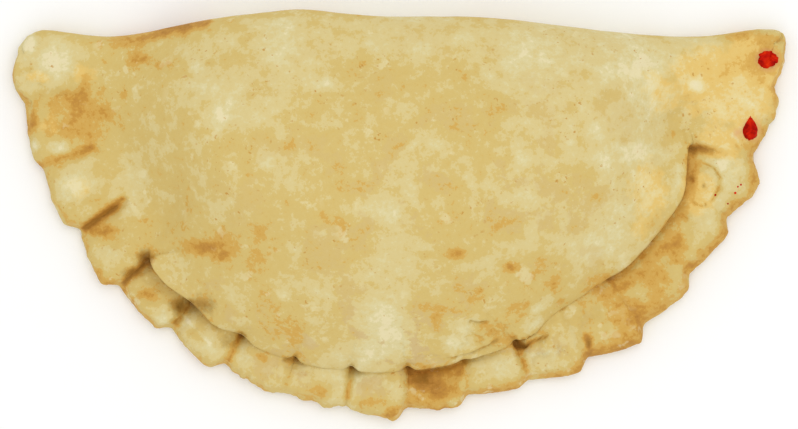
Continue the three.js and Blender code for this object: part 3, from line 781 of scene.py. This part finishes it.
def buildCrust():
    count = len(columns)
    bm = bmesh.new()
    place = bm.verts.layers.float.new("column")
    marks = {name: bm.verts.layers.float.new(name) for name in bake}

    def settle(vert, point, crease, brown=0.0, pale=0.0):
        vert.co = point
        vert[marks["crease"]] = crease
        vert[marks["brown"]] = brown
        vert[marks["pale"]] = pale

    def deepen(vert, name, strength):
        vert[marks[name]] = max(vert[marks[name]], strength)

    doubled = len(crust["doubleAt"])
    segments = count // 2 ** doubled
    bmesh.ops.create_circle(bm, cap_ends=True, cap_tris=True, segments=segments, radius=1)
    rings, first = crust["domeRings"], crust["firstRing"]
    shares = [(i + first) / (rings + first) for i in range(rings)]
    outs = [mix(share, math.sin(math.pi / 2 * share), crust["ringCrowd"]) for share in shares]
    ring = [edge for edge in bm.edges if edge.is_boundary]
    verts = {vert for edge in ring for vert in edge.verts}
    verts = sorted(verts, key=lambda vert: math.atan2(vert.co.y, vert.co.x) % math.tau)
    for i, vert in enumerate(verts):
        vert[place] = i * 2 ** doubled
        settle(vert, domePoint(columns[i * 2 ** doubled], outs[0]), 0.0)
    middle = next(vert for vert in bm.verts if vert not in verts)
    settle(middle, Vector((*crust["crown"], crust["bodyHeight"] + lumpAt(crust["crown"]))), 0.0)

    waiting = list(crust["doubleAt"])
    for out in outs[1:]:
        if waiting and out > waiting[0]:
            waiting.pop(0)
            split = bmesh.ops.subdivide_edges(bm, edges=ring, cuts=1)
            for vert in ringGeometry(split["geom_inner"], bmesh.types.BMVert):
                ends = [edge.other_vert(vert)[place] for edge in vert.link_edges]
                across = abs(ends[0] - ends[1]) > count / 2
                vert[place] = (sum(ends) + (count if across else 0)) / 2 % count
            ring = ringGeometry(split["geom_split"], bmesh.types.BMEdge)
        fresh, ring = growRing(bm, ring)
        for vert in fresh:
            column = columns[round(vert[place])]
            settle(vert, domePoint(column, out), paintedDentShade(column, out))
    for i, station in enumerate(stationAt):
        fresh, ring = growRing(bm, ring)
        for vert in fresh:
            column = columns[round(vert[place])]
            settle(vert, sidePoint(column, i), *rimMarks(column, station))
    for step in range(1, crust["baseRings"] + 1):
        fresh, ring = growRing(bm, ring)
        share = step / (crust["baseRings"] + 1)
        for vert in fresh:
            column = columns[round(vert[place])]
            foot = column["edge"] + column["inward"] * column["side"][-1].x
            plan = foot.lerp(crust["crown"], share)
            settle(vert, Vector((plan.x, plan.y, 0.0)), 0.0)
    bottom = bmesh.ops.edgeloop_fill(bm, edges=ring)["faces"]
    bmesh.ops.poke(bm, faces=bottom)
    bmesh.ops.recalc_face_normals(bm, faces=bm.faces)
    bm.normal_update()
    print("crust: %d columns, %d points" % (count, len(bm.verts)))

    # relief and marks, on everything above the underside
    moves = {}
    for vert in bm.verts:
        if vert.co.z < crust["plainBelow"]:
            continue
        plan = vert.co.xy
        upward = ease(vert.normal.z, -0.2, 0.3)
        added, shadow, browned = reliefAt(plan)
        moves[vert] = vert.normal * added * upward
        # the shadows of laps, flakes and dimples are painted in as shade
        deepen(vert, "crease", shadow * upward)
        nearDab = min((plan - Vector(dab["at"])).length for dab in dabs.values())
        vert[marks["stain"]] = swell(nearDab, crust["dyeStain"])
        deepen(vert, "brown", browned)
        for name, spots in bake.items():
            deepen(vert, name, max(within(spot, plan) * spot[4] for spot in spots))
        for name, lines in streaks.items():
            deepen(vert, name, max(streakAt(line, plan) for line in lines))
    for vert, move in moves.items():
        vert.co += move
    bm.verts.layers.float.remove(bm.verts.layers.float["column"])
    bmesh.ops.scale(bm, vec=(mm, mm, mm), verts=bm.verts)
    return bm


def linear(code):  # a hex colour for a shader socket
    channels = [int(code[i:i + 2], 16) / 255 for i in (0, 2, 4)]
    return [c / 12.92 if c <= 0.04045 else ((c + 0.055) / 1.055) ** 2.4 for c in channels] + [1.0]


def addNode(tree, kind, **sockets):
    made = tree.nodes.new(kind)
    for name, value in sockets.items():
        made.inputs[name.replace("_", " ")].default_value = value
    return made


def noiseNode(tree, coords, scale, detail, rough, twist=0.0):
    made = addNode(tree, "ShaderNodeTexNoise", Scale=scale, Detail=detail, Roughness=rough)
    made.inputs["Distortion"].default_value = twist
    tree.links.new(coords, made.inputs["Vector"])
    return made.outputs["Fac"]


def rampNode(tree, factor, stops):
    made = tree.nodes.new("ShaderNodeValToRGB")
    tree.links.new(factor, made.inputs["Fac"])
    points = made.color_ramp.elements
    while len(points) < len(stops):
        points.new(1.0)
    for point, (at, colour) in zip(points, stops):
        point.position = at
        point.color = linear(colour) if isinstance(colour, str) else (colour, colour, colour, 1.0)
    return made.outputs["Color"]


def mathNode(tree, operation, *values):
    made = tree.nodes.new("ShaderNodeMath")
    made.operation = operation
    for socket, value in zip(made.inputs, values):
        if isinstance(value, (int, float)):
            socket.default_value = value
        else:
            tree.links.new(value, socket)
    return made.outputs[0]


def coverNode(tree, below, above, factor):
    made = tree.nodes.new("ShaderNodeMix")
    made.data_type = "RGBA"
    tree.links.new(factor, made.inputs[0])
    tree.links.new(below, made.inputs[6])
    if isinstance(above, str):
        made.inputs[7].default_value = linear(above)
    else:
        tree.links.new(above, made.inputs[7])
    return made.outputs[2]


def bumpNode(tree, height, strength, distance):
    made = addNode(tree, "ShaderNodeBump", Strength=strength, Distance=distance)
    tree.links.new(height, made.inputs["Height"])
    return made


crustFinish = {
    # colours from pale to well baked
    "tan": ((0.0, "e6dab2"), (0.27, "e3d6a8"), (0.285, "dbcf9c"), (0.37, "d9ca92"), (0.385, "d8c68a"),
            (0.49, "d7c384"), (0.505, "d3ba72"), (0.64, "d2b76c"), (0.655, "d1a956"), (0.76, "cfa34e"),
            (0.775, "c8963f"), (0.9, "b98538"), (1.0, "a67428")),
    "golden": ((0.0, "e9deb8"), (0.3, "e5d7a4"), (0.32, "e4d296"), (0.44, "e3ca86"), (0.455, "e2c375"),
               (0.6, "e1bd6a"), (0.615, "dab05a"), (0.75, "d2a54e"), (0.9, "c08a3a"), (1.0, "a67428")),
    # painted shade for creases, grooves and hollows
    "crease": "85611f",
    "stain": "d8a274",
    # a duller tone, partly painted shade towards the front
    "dullAndShade": "cdb27c",
    "flour": "e5dbac",
    "fleck": "c08a34",
    # how far patterns and marks move the baking; the marks include painted shade and painted light
    "usualBake": 0.52,
    "patchSpread": 1.35,
    "crumbSpread": 0.5,
    "dustSpread": 0.18,
    "shift": {"brown": 0.42, "pale": -0.40, "crease": 0.35},
    # patterns: scale, detail, roughness, then from where to where they show
    "patches": (62.0, 12.0, 0.72),
    "crumb": (420.0, 6.0, 0.7),
    "dust": (1500.0, 3.0, 0.6),
    "dullPatches": (125.0, 8.0, 0.62, (0.545, 0.0), (0.565, 0.75)),
    "flourBlobs": (270.0, 4.0, 0.55, (0.58, 0.0), (0.62, 0.45)),
    "flourDrifts": (75.0, 3.0, 0.6, (0.5, 0.0), (0.6, 1.0)),
    "fleckBlobs": (1150.0, 2.0, 0.5, (0.66, 0.0), (0.72, 0.85)),
    "fleckDrifts": (110.0, 4.0, 0.6, (0.46, 0.0), (0.62, 1.0)),
    "dullUntil": ((0.58, 1.0), (0.66, 0.0)),  # kept off what is baked better
    # broken edges of the marks: scale, spread, and from where to where
    "goldEdge": (90.0, 1.6, 0.3, 0.5),
    "stainEdge": (300.0, 0.8, 0.35, 1.0),
    "creaseEdge": (480.0, 1.0, 0.25, 1.0),
    "edgeNoise": (8.0, 0.7),
    # skin, its bumps with strength and distance
    "roughness": (0.6, 0.82),
    "roughOver": (0.3, 0.7),
    "blisters": (380.0, 5.0, 0.6),
    "blisterBump": (0.35, 0.0006),
    "grain": (1700.0, 3.0, 0.6),
    "grainBump": (0.25, 0.00025),
}


def startMaterial(name, ior, specular):
    material = bpy.data.materials.new(name)
    material.use_nodes = True
    tree = material.node_tree
    tree.nodes.clear()
    output = tree.nodes.new("ShaderNodeOutputMaterial")
    shader = addNode(tree, "ShaderNodeBsdfPrincipled", IOR=ior, Specular_IOR_Level=specular)
    tree.links.new(shader.outputs["BSDF"], output.inputs["Surface"])
    coords = tree.nodes.new("ShaderNodeTexCoord").outputs["Object"]
    return material, tree, shader, coords


def crustMaterial():
    look = crustFinish
    material, tree, shader, coords = startMaterial("bakedCrust", ior=1.45, specular=0.3)

    def mark(name):
        made = tree.nodes.new("ShaderNodeAttribute")
        made.attribute_name = name
        return made.outputs["Fac"]

    def pattern(name):
        return noiseNode(tree, coords, *look[name][:3])

    def showing(name):  # only where the pattern is strong
        return rampNode(tree, pattern(name), look[name][3:])

    def spread(factor, width, middle=0.0):
        return mathNode(tree, "MULTIPLY_ADD", factor, width, middle - width / 2)

    def ragged(name):  # gives a soft mark a broken edge
        scale, width, start, stop = look[name + "Edge"]
        wander = spread(noiseNode(tree, coords, scale, *look["edgeNoise"]), width)
        return rampNode(tree, mathNode(tree, "ADD", mark(name), wander), ((start, 0.0), (stop, 1.0)))

    # how well baked each place looks: broad patches, crumbs and dust, then the marks of this one, which
    # carry painted shade and painted light too
    patches = pattern("patches")
    level = spread(patches, look["patchSpread"], look["usualBake"])
    for name in ("crumb", "dust"):
        level = mathNode(tree, "ADD", level, spread(pattern(name), look[name + "Spread"]))
    for name, shift in look["shift"].items():
        level = mathNode(tree, "MULTIPLY_ADD", mark(name), shift, level)
    colour = rampNode(tree, level, look["tan"])
    # patches of the duller tone, partly painted shade, heavier towards the front
    dullAndShade = mathNode(tree, "MULTIPLY", showing("dullPatches"), mark("dullAndShade"))
    dullAndShade = mathNode(tree, "MULTIPLY", dullAndShade, rampNode(tree, level, look["dullUntil"]))
    colour = coverNode(tree, colour, look["dullAndShade"], dullAndShade)
    colour = coverNode(tree, colour, rampNode(tree, level, look["golden"]), ragged("gold"))
    # the dye stain, then the painted shade in creases and hollows
    for name in ("stain", "crease"):
        colour = coverNode(tree, colour, look[name], ragged(name))

    # floury blobs and scattered flecks, both in drifts
    for name in ("flour", "fleck"):
        drifting = mathNode(tree, "MULTIPLY", showing(name + "Blobs"), showing(name + "Drifts"))
        colour = coverNode(tree, colour, look[name], drifting)
    tree.links.new(colour, shader.inputs["Base Color"])

    rough = tree.nodes.new("ShaderNodeMapRange")
    tree.links.new(patches, rough.inputs["Value"])
    rough.inputs["From Min"].default_value, rough.inputs["From Max"].default_value = look["roughOver"]
    rough.inputs["To Min"].default_value, rough.inputs["To Max"].default_value = look["roughness"]
    tree.links.new(rough.outputs["Result"], shader.inputs["Roughness"])

    # dough skin: shallow blisters with a fine floury grain
    blisters = bumpNode(tree, pattern("blisters"), *look["blisterBump"])
    grain = bumpNode(tree, pattern("grain"), *look["grainBump"])
    tree.links.new(blisters.outputs["Normal"], grain.inputs["Normal"])
    tree.links.new(grain.outputs["Normal"], shader.inputs["Normal"])
    return material


dyeFinish = {
    "reds": ((0.34, "8e0600"), (0.5, "c21602"), (0.66, "de3206")),
    "sheen": ((0.3, 0.35), (0.7, 0.6)),
    "pools": (620.0, 4.0, 0.6, 0.5),
    "skin": (1300.0, 3.0, 0.6),
    "skinBump": (0.4, 0.0004),
}


def dyeMaterial():
    material, tree, shader, coords = startMaterial("redDye", ior=1.4, specular=0.06)
    pools = noiseNode(tree, coords, *dyeFinish["pools"])
    tree.links.new(rampNode(tree, pools, dyeFinish["reds"]), shader.inputs["Base Color"])
    tree.links.new(rampNode(tree, pools, dyeFinish["sheen"]), shader.inputs["Roughness"])
    skin = bumpNode(tree, noiseNode(tree, coords, *dyeFinish["skin"]), *dyeFinish["skinBump"])
    tree.links.new(skin.outputs["Normal"], shader.inputs["Normal"])
    return material


def addObject(name, data):
    made = bpy.data.objects.new(name, data)
    bpy.context.scene.collection.objects.link(made)
    return made


def finishPiece(name, bm, material):
    for face in bm.faces:
        face.smooth = True
    mesh = bpy.data.meshes.new(name)
    bm.to_mesh(mesh)
    bm.free()
    mesh.materials.append(material)
    piece = addObject(name, mesh)
    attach(piece, "root")
    print("%s: %d triangles" % (name, sum(len(face.vertices) - 2 for face in mesh.polygons)))
    return piece


crustBm = buildCrust()
crustTree = BVHTree.FromBMesh(crustBm)
crustPiece = finishPiece("crust", crustBm, crustMaterial())
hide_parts("empanada")


# A drop of dye follows the dough under it
drip = {
    "ragged": (0.16, 2.6),  # how much, and how close together
    "fineRagged": (0.10, 7),
    "lump": (0.25, 3.1),
    "taperBow": 1.3,
    "rimSunk": 0.07,  # shares of its height
    "baseSunk": 0.7,
}


def waver(how, way, seed):
    amount, close = how
    return amount * noise.noise(Vector((close * way.x, close * way.y, seed)))


def addDrop(bm, drop, around=32, rings=7):
    x, y = drop["at"]
    wide, long = drop["half"]
    taper = drop.get("taper", 0.0)
    made = bmesh.ops.create_circle(bm, cap_ends=True, cap_tris=True, segments=around, radius=1.0 / rings)
    verts = set(made["verts"])
    ring = [e for e in {e for v in verts for e in v.link_edges} if e.is_boundary]
    share = {vert: vert.co.xy.length for vert in verts}
    for step in range(2, rings + 2):
        fresh, ring = growRing(bm, ring)
        for vert in fresh:
            way = vert.co.xy.normalized() * min(step, rings) / rings
            vert.co = (way.x, way.y, -1.0 if step > rings else 0.0)
            share[vert] = min(step, rings) / rings
        verts |= fresh
    for vert in verts:
        way = vert.co.xy
        ragged = waver(drip["ragged"], way, drop["seed"]) * share[vert]
        ragged += waver(drip["fineRagged"], way, drop["seed"] + 5.0) * share[vert] ** 3
        ragged = 1 + drop.get("ragged", 1.0) * ragged
        narrow = 1 - taper * max(0.0, way.y) ** drip["taperBow"]
        blunt = 1 - drop.get("blunt", 0.0) * ease(-way.y, 0, 1)
        px = (x + way.x * wide * narrow * ragged) * mm
        py = (y + way.y * long * blunt * ragged) * mm
        hit = crustTree.ray_cast(Vector((px, py, 0.1)), Vector((0, 0, -1)))[0]
        dome = math.sqrt(max(0.0, 1 - share[vert] ** 2)) * narrow
        lump = 1 + waver(drip["lump"], way, drop["seed"] + 9.0)
        rise = drop["height"] * dome * lump
        if vert.co.z < 0 or share[vert] >= 1:
            rise -= drop["height"] * drip["baseSunk" if vert.co.z < 0 else "rimSunk"]
        vert.co = (px, py, hit.z + rise * mm)
    bmesh.ops.edgeloop_fill(bm, edges=ring)


def buildDrops(drops, **fineness):
    bm = bmesh.new()
    for drop in drops:
        addDrop(bm, drop, **fineness)
    bmesh.ops.recalc_face_normals(bm, faces=bm.faces)
    return bm


specks = {
    "at": ((61.4, 3.9), (65.8, 5.5), (66.4, 5.9), (65.3, 4.3), (63.9, 2.2)),
    "radius": (0.22, 0.18, 0.2, 0.26, 0.18),
    "height": 0.16,
}

dye = dyeMaterial()
for dabName, dab in dabs.items():
    finishPiece(dabName + "Dab", buildDrops([dab]), dye)
speckDrops = [
    {"at": at, "half": (radius, radius), "height": specks["height"], "seed": i}
    for i, (at, radius) in enumerate(zip(specks["at"], specks["radius"]))
]
finishPiece("dyeSpecks", buildDrops(speckDrops, around=12, rings=3), dye)

# Floor, light and camera
studio = {
    "floorSize": 1.2,
    "floorColour": "fcfcfb",
    "floorRoughness": 0.9,
    "ambient": 0.86,
    "lights": {  # from where, how wide, how strong
        "key": ((0.1, 0.16, 0.72), 0.45, 1.0),
        "fill": ((-0.05, -0.40, 0.55), 0.5, 0.3),
    },
}

floorBm = bmesh.new()
bmesh.ops.create_grid(floorBm, x_segments=8, y_segments=8, size=studio["floorSize"] / 2)
floorMesh = bpy.data.meshes.new("floor")
floorBm.to_mesh(floorMesh)
floorBm.free()
floor = addObject("floor", floorMesh)
floorMaterial = bpy.data.materials.new("paleFloor")
floorMaterial.use_nodes = True
floorShader = floorMaterial.node_tree.nodes["Principled BSDF"]
floorShader.inputs["Base Color"].default_value = linear(studio["floorColour"])
floorShader.inputs["Roughness"].default_value = studio["floorRoughness"]
floorMesh.materials.append(floorMaterial)

world = bpy.data.worlds.new("softRoom")
world.use_nodes = True
background = world.node_tree.nodes["Background"]
background.inputs["Color"].default_value = (1.0, 1.0, 1.0, 1.0)
background.inputs["Strength"].default_value = studio["ambient"]
bpy.context.scene.world = world

for lightName, (at, size, power) in studio["lights"].items():
    light = bpy.data.lights.new(lightName, "AREA")
    light.size = size
    light.energy = power
    lamp = addObject(lightName, light)
    lamp.location = at
    lamp.rotation_euler = Vector(at).to_track_quat("Z", "Y").to_euler()

camera = {
    "above": 0.90,
    "sensor": 36.0,
    "over": (-0.2, 0.1),  # millimetres, the middle of the view
    "frameWidth": 155.9,  # millimetres across the view
    "frameHeight": 3.0,  # at this height above the floor
}
cameraData = bpy.data.cameras.new("camera")
cameraData.sensor_width = camera["sensor"]
cameraData.sensor_fit = "HORIZONTAL"
away = camera["above"] - camera["frameHeight"] * mm
cameraData.lens = camera["sensor"] * away / (camera["frameWidth"] * mm)
cameraObject = addObject("camera", cameraData)
cameraObject.location = (camera["over"][0] * mm, camera["over"][1] * mm, camera["above"])
bpy.context.scene.camera = cameraObject
bpy.context.scene.view_settings.view_transform = "Standard"
print("stage: floor, two lights, camera")
